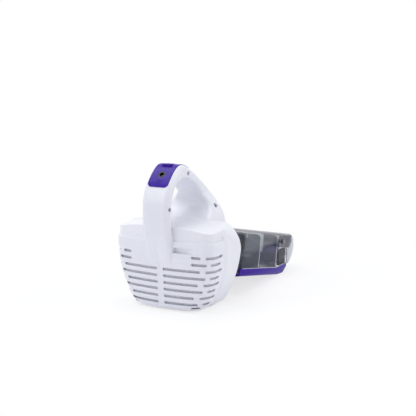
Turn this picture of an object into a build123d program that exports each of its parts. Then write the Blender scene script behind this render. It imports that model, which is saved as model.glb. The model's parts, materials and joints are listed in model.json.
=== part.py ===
from build123d import *
import math
import os

os.makedirs("parts", exist_ok=True)

# A cordless hand vacuum with a powered brush. +X points forward to the brush, +Y left, +Z up.
# The origin is on the floor, at the middle of the foot pad under the body. Sizes in millimetres.

# Body: rear panel, sides and floor
WALL = 2.6
BODY_HALF_WIDTH = 75.5
WIDEST_Z = 78.0
SIDE_RADIUS = 140.0
BODY_REAR_X = -50.0
REAR_RADIUS = 800.0
REAR_CROWN = 8.0
CORNER_LOW = 26.0
CORNER_HIGH = 16.0
STEP_Z = 98.0
STEP_ROUND = 1.2
FOOT_HEIGHT = 1.2
FOOT_LENGTH = 38.0
FOOT_WIDTH = 66.0
EDGE_ROUND = 12.0
FLOOR_ROUND = 7.0
BODY_CUT_X = -2.0

# Deck on top of the body and the collar at its front
DECK_SETBACK = 1.6
DECK_REAR_TOP_Z = 116.5
DECK_SLOPE = 3.4
DECK_CROWN_RADIUS = 300.0
COLLAR_X = -8.0
COLLAR_PROUD = 1.4
COLLAR_REAR_SHOULDER_Z = 112.0
COLLAR_REAR_TOP_Z = 121.5
COLLAR_REAR_ROUND = 8.0
COLLAR_SHOULDER_Z = 97.0
COLLAR_TOP_Z = 118.5
COLLAR_SHOULDER_ROUND = 48.0
COLLAR_FRONT_X = 50.0
COLLAR_CUT_X = 75.0
COLLAR_RAMP = 5.0

# Rim plane: the dust cup and all that turns behind it share this tilted axis
NOZZLE_TILT = 11.3
RIM_FLOOR_X = 27.0
AXIS_Z = 66.1

# Loop handle
HANDLE_HALF_WIDTH = 20.5
HANDLE_WALL = 3.0
HANDLE_ROUND = 7.0
HANDLE_INNER_ROUND = 4.0
HANDLE_OUTER = [
    (-40, 46), (-48, 64), (-56, 90), (-61.5, 120), (-62, 146), (-55.5, 167),
    (-41.5, 184), (-22, 195.3), (0, 190), (28, 173.5), (45, 162.5), (58, 153),
]
HANDLE_INNER = [
    (37, 146), (4, 172.5), (-14, 177.5), (-30, 174.5), (-43, 163),
    (-49, 146), (-49, 112), (-40, 84), (-30, 60), (-27, 46),
]
LEG_LEVELS = [
    (106, 2, 56, 53), (118.5, 13, 58, 47), (126, 27, 58, 44),
    (136, 34.5, 58.5, 37.5), (147, 32, 58.5, 28), (156, 25, 52, 21), (163, 19, 44, 19.5),
]
LEG_CORNER = 9.0
LEG_TAPER = 6.0

# Vent slots
VENT_ROWS = 6
VENT_TOP_Z = 59.0
VENT_PITCH = 9.35
VENT_HEIGHT = 3.8
VENT_RIB = 4.2
VENT_LONG_MARGIN = 8.5
VENT_SHORT_MARGIN = 16.0
VENT_POST = 6.0
VENT_DEPTH = 26.0
VENT_SIDE_X = -13.0
VENT_SIDE_STAGGER = 5.0
SIDE_ROWS = 2
SIDE_VENT_FROM = 46.0
FLOOR_VENT_Z = 6.8
FLOOR_VENT_HEIGHT = 2.6
FLOOR_VENT_LENGTH = 10.0
NOTCH_Z = 86.0
NOTCH_HEIGHT = 8.0
NOTCH_FROM = 20.0
NOTCH_TO = 50.0
NOTCH_DEPTH = 6.0
NOTCH_PAD = 2.0

# Trim, socket, slider and screws on the handle
TRIM_HALF_WIDTH = 15.5
TRIM_PROUD = 0.6
TRIM_DROP = 19.5
TRIM_REACH = 60.0
TRIM_CORNER = 6.0
TRIM_BED = [(-75, 160), (-47.5, 171), (-30, 183), (-10, 186), (0, 183), (7, 203), (-75, 203)]
SOCKET_X = -41.5
SOCKET_Z = 184.0
SOCKET_ANGLE = 46.0
SOCKET_RADIUS = 5.2
SOCKET_BORE = 3.0
SOCKET_BORE_DEPTH = 8.0
SOCKET_LENGTH = 11.0
SLIDER_X = -19.5
SLIDER_Z = 195.4
SLIDER_SLOPE = 3.0
SLIDER_LENGTH = 14.0
SLIDER_WIDTH = 13.0
SLIDER_DEPTH = 2.4
SLIDER_RISE = 0.8
SLIDER_TRAVEL = 6.0
SLIDE_CLEARANCE = 0.3
SWITCH_LENGTH = 16.0
SWITCH_WIDTH = 10.0
SWITCH_TOP_Z = 187.8
SWITCH_X = -20.0
SCREW_PLACES = [(-6.5, 183, 20.5), (-55.5, 141, 20.5), (43.4, 133, 33.5)]
SCREW_HEAD_RADIUS = 2.9
SCREW_HEAD_HEIGHT = 2.4
SCREW_SHANK_RADIUS = 1.5
SCREW_LENGTH = 20.0
SCREW_RECESS = 2.0
BOSS_RADIUS = 4.2

# Suction motor and fan, along the tilted axis; stations are measured forward from the rim
BULKHEAD = 4.0
BULKHEAD_HOLE = 19.0
SPIGOT_LENGTH = 5.0
SPIGOT_GAP = 0.7
SPIGOT_WALL = 2.0
SEAL_WIDTH = 2.0
SEAL_PROUD = 0.35
FAN_HOUSING_RADIUS = 36.5
FAN_HOUSING_LENGTH = 23.0
FAN_HOUSING_WALL = 2.0
FAN_WINDOW = 13.0
FAN_WINDOWS = 8
FAN_RADIUS = 31.0
FAN_WIDTH = 11.0
FAN_DISC = 1.6
FAN_BLADES = 9
FAN_BLADE_TURN = 25.0
FAN_HUB = 6.0
FAN_GAP = 3.0
MOTOR_RADIUS = 20.0
MOTOR_LENGTH = 46.0
MOTOR_SKIN = 1.6
MOTOR_RING = 2.5
BELL_LENGTH = 4.0
BEARING_RADIUS = 6.0
BEARING_LENGTH = 4.0
SHAFT_RADIUS = 2.4
RUNNING_FIT = 0.05
ROTOR_RADIUS = 12.5
ROTOR_LENGTH = 28.0
FOAM = 4.5
FOAM_TOP_Z = 79.7
FOAM_FRONT_X = -22.0
FOAM_SIDE_X = -6.5
FOAM_SIDE_Y = 50.0

# Battery
CELL_RADIUS = 9.1
CELL_LENGTH = 65.0
CELL_PLACES = [-3.0, 15.6]
TRAY_REAR_X = -11.0
TRAY_FRONT_X = 22.8
TRAY_HALF_WIDTH = 33.5
POST_PLACES = [3.0, 18.0]
POST_Y = 35.4
TRAY_FLOOR = 1.8
POST_RADIUS = 2.2
BOARD = 1.6
BOARD_GAP = 1.5
CHIP_PLACES = [(-6, -18), (6, 4)]
CHIP_LENGTH = 9.0
CHIP_WIDTH = 7.0
CAPACITOR_PLACES = [(0, 24), (8, 26), (-8, 14)]
CAPACITOR_RADIUS = 3.0

# Dust cup and its flare
CUP_WALL = 2.4
CUP_GAP = 0.3
FLARE_LENGTH = 36.0
TUNNEL_HALF_WIDTH = 60.0
TUNNEL_HALF_HEIGHT = 31.9
TUNNEL_CROWN = 0.4
TUNNEL_ROUND = 9.0
TUNNEL_FLOOR_ROUND = 5.0
NOZZLE_FRONT_X = 239.0
RIB_FROM = 34.0
RIB_WIDTH = 9.0
RIB_PROUD = 1.2
SEAM_DROP = 20.5
SEAM_BREAK = 168.0

# Release button on top of the cup
TOWER_FROM = 8.0
TOWER_LENGTH = 20.0
TOWER_HALF_WIDTH = 13.0
TOWER_TOP = 46.0
TOWER_FLOOR = 33.0
TOWER_WALL = 2.4
BUTTON_FOOT = 37.0
BUTTON_TOP = 48.5
BUTTON_ROUND = 1.5
SPRING_RADIUS = 4.5
SPRING_WALL = 1.0

# Filter
FILTER_RADIUS = 26.0
FILTER_LENGTH = 78.0
FILTER_SKIN = 1.8
FILTER_BARS = 8
FILTER_BAR_WIDTH = 3.4
FILTER_RING_WIDTH = 6.0
PLEATS = 22
PLEAT_DEPTH = 6.0

# Air path to the cup
DUCT_REAR = 103.0
DUCT_FRONT = 167.0
DUCT_WALL = 2.2
DUCT_HALF_WIDTH = 34.0
DUCT_FLOOR = 2.0
DUCT_BACK_GAP = 0.3
FLAP_THICKNESS = 1.6
FLAP_PIN_RADIUS = 1.2
FLAP_KNUCKLE = 2.4
FLAP_HINGE_HEIGHT = 25.6
FLAP_EAR = 2.6
FLAP_SET_BACK = 2.7
WINDOW_TOP = 22.5
BELT_SLOT = (48.5, 54.5, 12.0, 38.0)

# Brush and its drive
BRUSH_X = 236.0
BRUSH_Z = 23.0
BRUSH_TIP = 21.5
BRUSH_CORE = 9.0
BRUSH_HALF_LENGTH = 48.5
BRUSH_SLEEVE = 0.8
BRUSH_ROWS = 4
BRUSH_STRANDS = 90
BRUSH_TWIST = 150.0
STRAND_WIDTH = 0.72
AXLE_RADIUS = 2.5
BLOCK_LENGTH = 3.4
BLOCK_WIDTH = 26.0
BLOCK_TOP = 14.0
BRUSH_PULLEY = 9.0
PULLEY_WIDTH = 4.2
BELT_THICKNESS = 1.2
BELT_WIDTH = 3.0
DRIVE_X = 178.0
DRIVE_Z = 25.0
DRIVE_RADIUS = 13.0
DRIVE_HALF_LENGTH = 30.0
DRIVE_PULLEY = 6.0
DRIVE_SHAFT = 1.6
END_CAP_RADIUS = 12.0
END_CAP_LENGTH = 5.1
FLANGE = 0.6
FLANGE_PROUD = 1.6
MOUTH_LIP_X = 206.0
RAIL_INNER = 53.0
RAIL_UPTURN = (225.0, 9.0)

# Visor over the brush
VISOR_REAR_X = 242.3
VISOR_PIVOT_X = 216.0
VISOR_PIVOT_Z = 52.0
VISOR_SKIN = 2.0
CHEEK = 3.0
CHEEK_OUTLINE = [(259, 54.3), (266.6, 46), (267.8, 35), (261, 20.5), (244, 10.5)]
VISOR_TOP_Z = 57.3
HOOD_LOW_Z = 20.0
ARM = 3.0
ARM_GAP = 0.8
ARM_OUTLINE = [(198.5, 46.5), (209, 62.5), (251, 55.2), (250.5, 45), (240, 37.5)]
ARM_ROUND = 3.0
PIN_RADIUS = 2.5
PIN_HEAD = 1.4
PIN_HEAD_RADIUS = 4.0
PAD_X = 246.2
PAD_Z = 49.5
PAD_RADIUS = 3.6

sin_tilt = math.sin(math.radians(NOZZLE_TILT))
cos_tilt = math.cos(math.radians(NOZZLE_TILT))
rim_axis_x = RIM_FLOOR_X + AXIS_Z * sin_tilt / cos_tilt
nozzle = Plane(origin=(rim_axis_x, 0, AXIS_Z), x_dir=(0, 1, 0), z_dir=(cos_tilt, 0, -sin_tilt))


def save(part, name):
    part.label = name
    export_step(part, f"parts/{name}.step")


def half_width(z):
    """Half width of the body at one height: a single large arc, widest at WIDEST_Z."""
    return BODY_HALF_WIDTH - SIDE_RADIUS + math.sqrt(SIDE_RADIUS**2 - (z - WIDEST_Z) ** 2)


def rear_x(z):
    """Rear of the panel at one height: upright at the step and leaning forward below it."""
    return BODY_REAR_X + REAR_RADIUS - math.sqrt(REAR_RADIUS**2 - (STEP_Z - z) ** 2)


def body_slice(z, shape_z, inset):
    """Plan of the body: a crowned rear, two round corners and straight sides."""
    corner = CORNER_LOW + (CORNER_HIGH - CORNER_LOW) * shape_z / STEP_Z
    half = half_width(shape_z) - inset
    rear = rear_x(shape_z) + inset
    shoulder = rear + REAR_CROWN
    with BuildSketch(Plane.XY.offset(z)) as plan:
        with BuildLine():
            ThreePointArc((shoulder, -half), (rear, 0), (shoulder, half))
            Polyline((shoulder, half), (BODY_CUT_X, half), (BODY_CUT_X, -half), (shoulder, -half))
        make_face()
        fillet(plan.vertices().sort_by(Axis.X)[:2], corner - inset)
    return plan.sketch


def body_form(inset):
    """The rear body below the step, drawn in by the inset all round."""
    floor = FOOT_HEIGHT + inset
    levels = [(floor, FLOOR_ROUND * 0.85), (floor + FLOOR_ROUND * 0.3, FLOOR_ROUND * 0.3)]
    levels += [(floor + FLOOR_ROUND, 0)]
    spare = STEP_Z - inset - levels[-1][0]
    levels += [(levels[-1][0] + spare * share, 0) for share in (0.2, 0.4, 0.6, 0.8, 1.0)]
    with BuildPart() as form:
        loft([body_slice(z, z, inset + pull) for z, pull in levels])
    return form.part


def deck_form(inset):
    """The set-back deck above the step, with a crowned top that rises forward."""
    slope = math.radians(DECK_SLOPE)
    center = (BODY_REAR_X, 0, DECK_REAR_TOP_Z - DECK_CROWN_RADIUS)
    across = Plane(origin=center, x_dir=(0, 1, 0), z_dir=(math.cos(slope), 0, math.sin(slope)))
    with BuildPart() as form:
        add(body_slice(STEP_Z - 4 * WALL, STEP_Z, DECK_SETBACK + inset))
        extrude(amount=DECK_CROWN_RADIUS / 4)
        with BuildSketch(across):
            Circle(DECK_CROWN_RADIUS - inset)
        extrude(amount=DECK_CROWN_RADIUS, both=True, mode=Mode.INTERSECT)
    return form.part


def collar_slice(x, inset):
    """Front view of the collar: flat floor, one arc up each side, and a crown that rounds off forward."""
    share = (x - COLLAR_X - COLLAR_RAMP) / (COLLAR_FRONT_X - COLLAR_X - COLLAR_RAMP)
    share = min(max(share, 0), 1)
    floor = FOOT_HEIGHT + inset
    shoulder = COLLAR_REAR_SHOULDER_Z + (COLLAR_SHOULDER_Z - COLLAR_REAR_SHOULDER_Z) * share - inset
    top = COLLAR_REAR_TOP_Z + (COLLAR_TOP_Z - COLLAR_REAR_TOP_Z) * share - inset
    bend = COLLAR_REAR_ROUND + (COLLAR_SHOULDER_ROUND - COLLAR_REAR_ROUND) * share - inset
    middle = (floor + shoulder) / 2
    points = [(half_width(z) + COLLAR_PROUD - inset, z) for z in (floor, middle, shoulder)]
    left = [(-y, z) for y, z in points]
    with BuildSketch(Plane.YZ.offset(x)) as ring:
        with BuildLine():
            Line(left[0], points[0])
            ThreePointArc(*points)
            ThreePointArc(points[2], (0, top), left[2])
            ThreePointArc(*reversed(left))
        make_face()
        fillet(ring.vertices().sort_by(Axis.Y)[:2], EDGE_ROUND)
        fillet(ring.vertices().filter_by_position(Axis.Y, shoulder - 1, shoulder + 1), bend)
    return ring.sketch


def collar_form(inset):
    """The collar behind the rim, eased into the body by a short ramp at its rear edge."""
    start = COLLAR_X + inset
    ramp_end = COLLAR_X + COLLAR_RAMP
    pulled = inset + COLLAR_PROUD + WALL / 4
    stations = [(start, pulled), (ramp_end, inset), (COLLAR_FRONT_X, inset), (COLLAR_CUT_X, inset)]
    with BuildPart() as form:
        loft([collar_slice(x, pull) for x, pull in stations], ruled=True)
    return form.part


def drawn_in(points, inset):
    """The points of a curve, each moved to the right of the way that the curve runs there."""
    moved = []
    last = len(points) - 1
    for i, (x, z) in enumerate(points):
        ahead = points[min(i + 1, last)]
        behind = points[max(i - 1, 0)]
        run = math.dist(ahead, behind)
        moved.append((x + inset * (ahead[1] - behind[1]) / run, z - inset * (ahead[0] - behind[0]) / run))
    return moved


def strap_form(inset, half):
    """Rear leg and arch of the handle: a side profile cut to one width."""
    outer = drawn_in(HANDLE_OUTER, inset)
    inner = drawn_in(HANDLE_INNER, inset)
    with BuildPart() as form:
        with BuildSketch(Plane.XZ):
            with BuildLine():
                Spline(*outer)
                Line(outer[-1], inner[0])
                Spline(*inner)
                Line(inner[-1], outer[0])
            make_face()
        extrude(amount=half, both=True)
    return form.part


def long_edges(form):
    """Curved edges of a strap's two side faces, the inner pair first."""
    sides = form.faces().filter_by(Axis.Y)
    return sides.edges().filter_by(GeomType.BSPLINE).sort_by(SortBy.LENGTH)


def leg_form(inset):
    """Front leg of the handle, flared onto the deck."""
    sections = []
    for z, rear, front, half in LEG_LEVELS:
        wide = half - inset
        narrow = wide - LEG_TAPER
        back_x = rear + inset
        front_x = front - inset
        with BuildSketch(Plane.XY.offset(z)) as plan:
            with BuildLine():
                Polyline((back_x, -narrow), (front_x, -wide), (front_x, wide), (back_x, narrow), close=True)
            make_face()
            fillet(plan.vertices(), LEG_CORNER - inset)
        sections.append(plan.sketch)
    with BuildPart() as form:
        loft(sections)
    return form.part


def along(station, height):
    """The (x, z) of a point at a station along the tilted axis and a height above it."""
    x = rim_axis_x + station * cos_tilt + height * sin_tilt
    z = AXIS_Z - station * sin_tilt + height * cos_tilt
    return x, z


def on_rim(z):
    """Height above the tilted axis, along the rim plane, of a level of the body."""
    return (z - AXIS_Z) / cos_tilt


def nozzle_slice(place, station, inset):
    """Section of the cup across its axis: the rim's shape, drawn in to the flat tunnel by the flare."""
    share = min(station / FLARE_LENGTH, 1)
    ease = 1 - (1 - share) ** 2
    middle_z = (FOOT_HEIGHT + COLLAR_SHOULDER_Z) / 2

    def blend(rim, tunnel):
        return rim + (tunnel - rim) * ease

    low_y = blend(half_width(FOOT_HEIGHT), TUNNEL_HALF_WIDTH) - inset
    waist_y = blend(half_width(middle_z), TUNNEL_HALF_WIDTH + TUNNEL_CROWN) - inset
    high_y = blend(half_width(COLLAR_SHOULDER_Z), TUNNEL_HALF_WIDTH) - inset
    low = (low_y, blend(on_rim(FOOT_HEIGHT), -TUNNEL_HALF_HEIGHT) + inset)
    waist = (waist_y, blend(on_rim(middle_z), 0))
    high = (high_y, blend(on_rim(COLLAR_SHOULDER_Z), TUNNEL_HALF_HEIGHT) - inset)
    crown = (0, blend(on_rim(COLLAR_TOP_Z), TUNNEL_HALF_HEIGHT + TUNNEL_CROWN) - inset)
    right = [(-y, w) for y, w in (low, waist, high)]
    with BuildSketch(nozzle.offset(place)) as section:
        with BuildLine():
            Line(right[0], low)
            ThreePointArc(low, waist, high)
            ThreePointArc(high, crown, right[2])
            ThreePointArc(*reversed(right))
        make_face()
        fillet(section.vertices().sort_by(Axis.Y)[:2], blend(EDGE_ROUND, TUNNEL_FLOOR_ROUND) - inset * share)
        tops = section.vertices().filter_by_position(Axis.Y, high[1] - 1, high[1] + 1)
        fillet(tops, blend(COLLAR_SHOULDER_ROUND, TUNNEL_ROUND) - inset)
    return section.sketch


def flare_form(inset):
    """The flare from the rim to the tunnel, as a solid."""
    with BuildPart() as form:
        stations = [FLARE_LENGTH * share for share in (0, 0.15, 0.35, 0.6, 1.0)]
        loft([nozzle_slice(station, station, inset) for station in stations])
    return form.part


def tunnel_form(inset, floor, front):
    """The straight tunnel ahead of the flare, cut level at its floor and upright at its front."""
    with BuildPart() as form:
        add(nozzle_prism(FLARE_LENGTH, 2 * front, FLARE_LENGTH, inset))
        with Locations((front / 2, 0, floor + front / 2)):
            Box(front, front, front, mode=Mode.INTERSECT)
    return form.part


def nozzle_prism(start, length, station, inset):
    """A straight piece of the cup's section."""
    with BuildPart() as form:
        add(nozzle_slice(start, station, inset))
        extrude(amount=length, dir=nozzle.z_dir)
    return form.part


def side_prism(points, y_low, y_high):
    """A side view drawn with straight lines, cut between two sides."""
    with BuildPart() as form:
        with BuildSketch(Plane.XZ.offset(-y_high)):
            with BuildLine():
                Polyline(*points, close=True)
            make_face()
        extrude(amount=y_high - y_low)
    return form.part


def axial_box(start, length, y_low, y_high, w_low, w_high):
    """A block in the tilted frame: stations, sides and heights above the axis."""
    with BuildPart() as form:
        with BuildSketch(nozzle.offset(start)):
            with Locations(((y_low + y_high) / 2, (w_low + w_high) / 2)):
                Rectangle(y_high - y_low, w_high - w_low)
        extrude(amount=length)
    return form.part


def axial_tube(start, length, radius, bore=0):
    """A round piece along the tilted axis, with an optional bore."""
    with BuildPart() as form:
        with BuildSketch(nozzle.offset(start)):
            Circle(radius)
            if bore:
                Circle(bore, mode=Mode.SUBTRACT)
        extrude(amount=length)
    return form.part


def cross_tube(center, y_low, y_high, radius, bore=0):
    """A round piece along Y between two sides, with an optional bore."""
    with BuildPart() as form:
        with BuildSketch(Plane.XZ.offset(-y_high)):
            with Locations(center):
                Circle(radius)
                if bore:
                    Circle(bore, mode=Mode.SUBTRACT)
        extrude(amount=y_high - y_low)
    return form.part


# Housing: outer form, cavity, trim bed, vents and screw bosses, then the two halves
with BuildPart() as strap:
    add(strap_form(0, HANDLE_HALF_WIDTH))
    fillet(long_edges(strap)[:2], HANDLE_INNER_ROUND)
    fillet(long_edges(strap)[-2:], HANDLE_ROUND)

with BuildPart() as housing:
    add(body_form(0))
    step_edges = housing.faces().sort_by(Axis.Z)[-1].edges()
    fillet(step_edges.sort_by(Axis.X)[:-1], STEP_ROUND)
    add(deck_form(0))
    add(collar_form(0))
    add(strap.part)
    add(leg_form(0))
    split(bisect_by=nozzle, keep=Keep.BOTTOM)

with BuildPart() as leg_cavity:
    add(leg_form(HANDLE_WALL))
    split(bisect_by=nozzle.offset(-HANDLE_WALL), keep=Keep.BOTTOM)

panel_x = rear_x(NOTCH_Z)


def notch_form(grow):
    """The wedge-shaped recess beside the rear leg: deep at the leg and fading outwards."""
    deep_x = panel_x + REAR_CROWN * (NOTCH_FROM / BODY_HALF_WIDTH) ** 2 + NOTCH_DEPTH + grow
    shallow_x = panel_x + REAR_CROWN * (NOTCH_TO / BODY_HALF_WIDTH) ** 2 + grow
    outer_x = panel_x - WALL
    near_y = grow - NOTCH_FROM
    far_y = -NOTCH_TO
    corners = [(outer_x, near_y), (deep_x, near_y), (shallow_x, far_y), (outer_x, far_y)]
    with BuildPart() as form:
        with BuildSketch(Plane.XY.offset(NOTCH_Z - NOTCH_HEIGHT / 2 - grow)):
            with BuildLine():
                Polyline(*corners, close=True)
            make_face()
        extrude(amount=NOTCH_HEIGHT + 2 * grow)
    return form.part


with BuildPart() as cavity:
    add(body_form(WALL))
    add(deck_form(WALL))
    add(collar_form(WALL))
    add(strap_form(HANDLE_WALL, HANDLE_HALF_WIDTH - HANDLE_WALL))
    add(leg_cavity.part)
    for x, z, half in SCREW_PLACES:
        add(cross_tube((x, z), -half, half, BOSS_RADIUS), mode=Mode.SUBTRACT)
    add(notch_form(NOTCH_PAD), mode=Mode.SUBTRACT)

with BuildPart() as vents:
    for row in range(-SIDE_ROWS, VENT_ROWS):
        z = VENT_TOP_Z - row * VENT_PITCH
        staggered = row % 2 == 1
        reach = half_width(z) - (VENT_LONG_MARGIN if staggered else VENT_SHORT_MARGIN)
        start = SIDE_VENT_FROM if row < 0 else VENT_RIB
        post = min(reach + VENT_POST, half_width(z) - 2 * WALL)
        side_end = VENT_SIDE_X - (VENT_SIDE_STAGGER if staggered else 0)
        side_start = rear_x(z)
        with BuildSketch(Plane.YZ.offset(rear_x(z) - WALL)):
            for side in (-1, 1):
                with Locations((side * (start + reach) / 2, z)):
                    SlotOverall(reach - start, VENT_HEIGHT)
        extrude(amount=VENT_DEPTH)
        for side in (-1, 1):
            with BuildSketch(Plane.XZ.offset(-side * post)):
                with Locations(((side_start + side_end) / 2, z)):
                    SlotOverall(side_end - side_start, VENT_HEIGHT)
            extrude(amount=-side * VENT_DEPTH)
    with BuildSketch(Plane.YZ.offset(rear_x(FLOOR_VENT_Z) - WALL)):
        for side in (-1, 1):
            with Locations((side * (half_width(FLOOR_VENT_Z) - FLOOR_VENT_LENGTH), FLOOR_VENT_Z)):
                SlotOverall(FLOOR_VENT_LENGTH, FLOOR_VENT_HEIGHT)
    extrude(amount=VENT_DEPTH)

socket_tilt = math.radians(SOCKET_ANGLE)
socket_plane = Plane(
    origin=(SOCKET_X, 0, SOCKET_Z), x_dir=(0, 1, 0), z_dir=(-math.cos(socket_tilt), 0, math.sin(socket_tilt))
)
slider_tilt = math.radians(SLIDER_SLOPE)
slider_plane = Plane(
    origin=(SLIDER_X, 0, SLIDER_Z),
    x_dir=(math.cos(slider_tilt), 0, -math.sin(slider_tilt)),
    z_dir=(math.sin(slider_tilt), 0, math.cos(slider_tilt)),
)

with BuildPart() as charge_socket:
    with BuildSketch(socket_plane.offset(TRIM_PROUD - SOCKET_LENGTH)):
        Circle(SOCKET_RADIUS)
    extrude(amount=SOCKET_LENGTH)
    with BuildSketch(socket_plane.offset(TRIM_PROUD - SOCKET_BORE_DEPTH)):
        Circle(SOCKET_BORE)
    extrude(amount=SOCKET_BORE_DEPTH, mode=Mode.SUBTRACT)

with BuildPart() as socket_hole:
    with BuildSketch(socket_plane.offset(TRIM_PROUD - SOCKET_LENGTH)):
        Circle(SOCKET_RADIUS)
    extrude(amount=2 * SOCKET_LENGTH)

with BuildPart() as trim_blank:
    add(strap_form(-TRIM_PROUD, HANDLE_HALF_WIDTH + TRIM_PROUD))
    fillet(long_edges(trim_blank)[-2:], HANDLE_ROUND + TRIM_PROUD)
    add(strap_form(HANDLE_WALL, 2 * HANDLE_HALF_WIDTH), mode=Mode.SUBTRACT)
    with BuildSketch(Plane.XZ):
        with BuildLine():
            Polyline(*TRIM_BED, close=True)
        make_face()
    extrude(amount=TRIM_HALF_WIDTH, both=True, mode=Mode.INTERSECT)
    with BuildSketch(socket_plane):
        with Locations((0, (TRIM_DROP - TRIM_REACH) / 2)):
            RectangleRounded(2 * TRIM_HALF_WIDTH, TRIM_DROP + TRIM_REACH, TRIM_CORNER)
    extrude(amount=TRIM_REACH, both=True, mode=Mode.INTERSECT)

with BuildPart() as handle_trim:
    add(trim_blank.part)
    add(socket_hole.part, mode=Mode.SUBTRACT)
    with BuildSketch(slider_plane.offset(-SLIDER_DEPTH - SLIDE_CLEARANCE)):
        Rectangle(SLIDER_LENGTH + SLIDER_TRAVEL + 2 * SLIDE_CLEARANCE, SLIDER_WIDTH + 2 * SLIDE_CLEARANCE)
    extrude(amount=4 * SLIDER_DEPTH, mode=Mode.SUBTRACT)

with BuildPart() as power_slider:
    with BuildSketch(slider_plane.offset(-SLIDER_DEPTH)):
        with Locations((-SLIDER_TRAVEL / 2, 0)):
            Rectangle(SLIDER_LENGTH, SLIDER_WIDTH)
    extrude(amount=SLIDER_DEPTH + SLIDER_RISE)
    fillet(power_slider.faces().sort_by(Axis.Z)[-1].edges(), SLIDER_RISE / 2)

with BuildPart() as housing_screws:
    for x, z, half in SCREW_PLACES:
        seat = -half + SCREW_RECESS + SCREW_HEAD_HEIGHT
        add(cross_tube((x, z), seat - SCREW_HEAD_HEIGHT, seat, SCREW_HEAD_RADIUS))
        add(cross_tube((x, z), seat, seat + SCREW_LENGTH, SCREW_SHANK_RADIUS))

with BuildPart() as screw_holes:
    for x, z, half in SCREW_PLACES:
        seat = -half + SCREW_RECESS + SCREW_HEAD_HEIGHT
        add(cross_tube((x, z), -2 * half, seat, SCREW_HEAD_RADIUS + SLIDE_CLEARANCE))
        add(cross_tube((x, z), seat, seat + SCREW_LENGTH, SCREW_SHANK_RADIUS))

half_span = 2 * BODY_HALF_WIDTH
half_reach = 6 * BODY_HALF_WIDTH


def housing_half(side):
    with BuildPart() as form:
        add(housing.part)
        with Locations((0, side * half_span / 2, 0)):
            Box(half_reach, half_span, half_reach, mode=Mode.INTERSECT)
        add(cavity.part, mode=Mode.SUBTRACT)
        add(vents.part, mode=Mode.SUBTRACT)
        add(trim_blank.part, mode=Mode.SUBTRACT)
        add(screw_holes.part, mode=Mode.SUBTRACT)
        add(socket_hole.part, mode=Mode.SUBTRACT)
        if side < 0:
            add(notch_form(0), mode=Mode.SUBTRACT)
    return form.part


save(housing_half(-1), "housing_right")
save(housing_half(1), "housing_left")
save(handle_trim.part, "handle_trim")
save(charge_socket.part, "charge_socket")
save(power_slider.part, "power_slider")
save(housing_screws.part, "housing_screws")

with BuildPart() as base_foot:
    with BuildSketch(Plane.XY):
        RectangleRounded(FOOT_LENGTH, FOOT_WIDTH, EDGE_ROUND)
    extrude(amount=FOOT_HEIGHT)
save(base_foot.part, "base_foot")

with BuildPart() as switch_block:
    add(strap_form(HANDLE_WALL, SWITCH_WIDTH / 2))
    with Locations((SWITCH_X, 0, SWITCH_TOP_Z - SWITCH_LENGTH / 2)):
        Box(SWITCH_LENGTH, SWITCH_WIDTH, SWITCH_LENGTH, mode=Mode.INTERSECT)
save(switch_block.part, "switch_block")

# Battery on the floor of the body, with its circuit board on posts
cell_z = FOOT_HEIGHT + WALL + TRAY_FLOOR + CELL_RADIUS
board_z = cell_z + CELL_RADIUS + BOARD_GAP
with BuildPart() as battery_cells:
    for x in CELL_PLACES:
        add(cross_tube((x, cell_z), -CELL_LENGTH / 2, CELL_LENGTH / 2, CELL_RADIUS))
save(battery_cells.part, "battery_cells")

with BuildPart() as battery_tray:
    with BuildSketch(Plane.XY.offset(FOOT_HEIGHT + WALL)):
        with Locations(((TRAY_REAR_X + TRAY_FRONT_X) / 2, 0)):
            Rectangle(TRAY_FRONT_X - TRAY_REAR_X, 2 * TRAY_HALF_WIDTH)
        with Locations([(x, side * POST_Y) for x in POST_PLACES for side in (-1, 1)]):
            Circle(POST_RADIUS)
    extrude(amount=TRAY_FLOOR)
    with BuildSketch(Plane.XY.offset(FOOT_HEIGHT + WALL)):
        with Locations([(x, side * POST_Y) for x in POST_PLACES for side in (-1, 1)]):
            Circle(POST_RADIUS)
    extrude(amount=board_z - FOOT_HEIGHT - WALL)
save(battery_tray.part, "battery_tray")

with BuildPart() as circuit_board:
    board_x = (TRAY_REAR_X + TRAY_FRONT_X) / 2
    with BuildSketch(Plane.XY.offset(board_z)):
        with Locations((board_x, 0)):
            Rectangle(TRAY_FRONT_X - TRAY_REAR_X, 2 * (POST_Y + POST_RADIUS))
    extrude(amount=BOARD)
    with BuildSketch(Plane.XY.offset(board_z + BOARD)):
        with Locations(*[(board_x + x, y) for x, y in CHIP_PLACES]):
            Rectangle(CHIP_LENGTH, CHIP_WIDTH)
        with Locations(*[(board_x + x, y) for x, y in CAPACITOR_PLACES]):
            Circle(CAPACITOR_RADIUS)
    extrude(amount=3 * BOARD)
save(circuit_board.part, "circuit_board")

# Suction motor and fan on the tilted axis
with BuildPart() as bulkhead:
    add(collar_form(WALL))
    split(bisect_by=nozzle, keep=Keep.BOTTOM)
    split(bisect_by=nozzle.offset(-BULKHEAD), keep=Keep.TOP)
    add(nozzle_prism(-BULKHEAD / 2, BULKHEAD / 2 + SPIGOT_LENGTH, FLARE_LENGTH / 6, CUP_WALL + SPIGOT_GAP))
    spigot_bore = nozzle_prism(0, SPIGOT_LENGTH, FLARE_LENGTH / 6, CUP_WALL + SPIGOT_GAP + SPIGOT_WALL)
    add(spigot_bore, mode=Mode.SUBTRACT)
    add(axial_tube(-BULKHEAD, BULKHEAD, BULKHEAD_HOLE), mode=Mode.SUBTRACT)
save(bulkhead.part, "bulkhead")

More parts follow.
